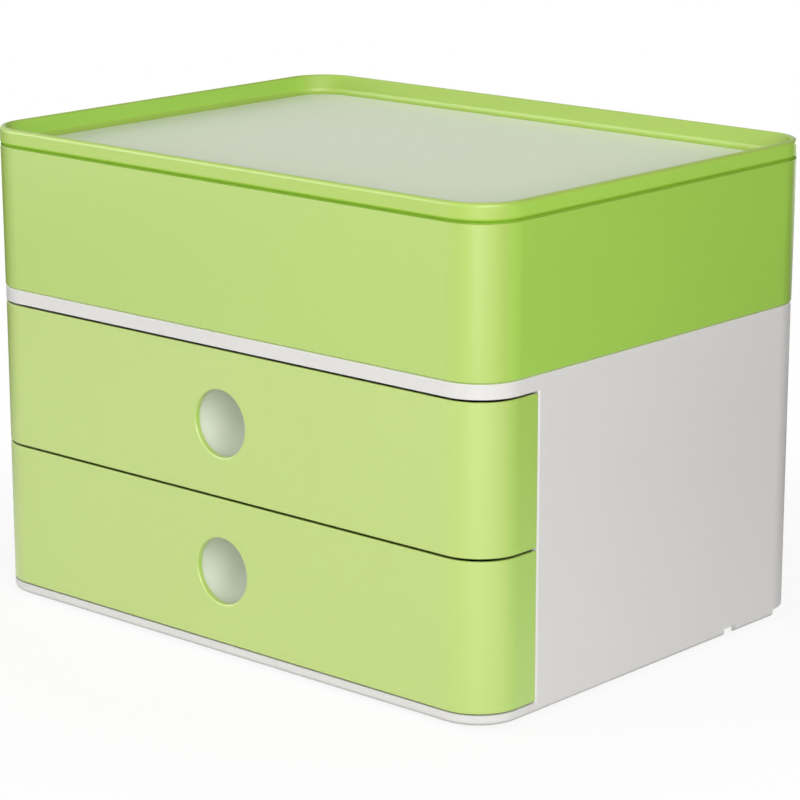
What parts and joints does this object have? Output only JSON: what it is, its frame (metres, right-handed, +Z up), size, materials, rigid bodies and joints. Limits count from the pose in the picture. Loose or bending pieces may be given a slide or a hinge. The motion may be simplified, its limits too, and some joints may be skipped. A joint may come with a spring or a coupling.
{
  "type": "desk file box with drawers",
  "caption": "Desk file box: slide-out drawers with wrap-round fronts and finger cups, under a lift-off divided utensil box closed by a tray lid.",
  "frame": {"origin": "on the desk, under the middle of the footprint", "axes": "+X to the right as one faces the drawers, +Y from the drawers' fronts to the back, +Z up"},
  "size_m": [0.26, 0.195, 0.19],
  "materials": {
    "white_plastic": "warm white ABS, smooth with a soft gloss",
    "lime_plastic": "lime green ABS, smooth with a clear gloss",
    "pale_plastic": "pale grey-white ABS, satin",
    "foot_rubber": "grey matt rubber"
  },
  "bodies": {
    "base_unit": {"casing": "white_plastic", "foot_front_left": "foot_rubber", "foot_front_right": "foot_rubber", "foot_rear_left": "foot_rubber", "foot_rear_right": "foot_rubber"},
    "lower_drawer": {"lower_drawer_tray": "white_plastic", "lower_drawer_front": "lime_plastic", "lower_finger_cup": "pale_plastic"},
    "upper_drawer": {"upper_drawer_tray": "white_plastic", "upper_drawer_front": "lime_plastic", "upper_finger_cup": "pale_plastic"},
    "utensil_unit": {"utensil_box": "lime_plastic", "long_divider": "white_plastic", "left_divider": "white_plastic", "right_divider": "white_plastic"},
    "lid": {"box_lid": "lime_plastic"}
  },
  "joints": [
    {"name": "lower_drawer_slide", "type": "slide", "parent": "base_unit", "child": "lower_drawer", "axis": [0, -1, 0], "range_m": [0, 0.136]},
    {"name": "upper_drawer_slide", "type": "slide", "parent": "base_unit", "child": "upper_drawer", "axis": [0, -1, 0], "range_m": [0, 0.136]},
    {"name": "utensil_box_lift", "type": "slide", "parent": "base_unit", "child": "utensil_unit", "axis": [0, 0, 1], "range_m": [0, 0.08]},
    {"name": "lid_lift", "type": "slide", "parent": "utensil_unit", "child": "lid", "axis": [0, 0, 1], "range_m": [0, 0.08]}
  ]
}
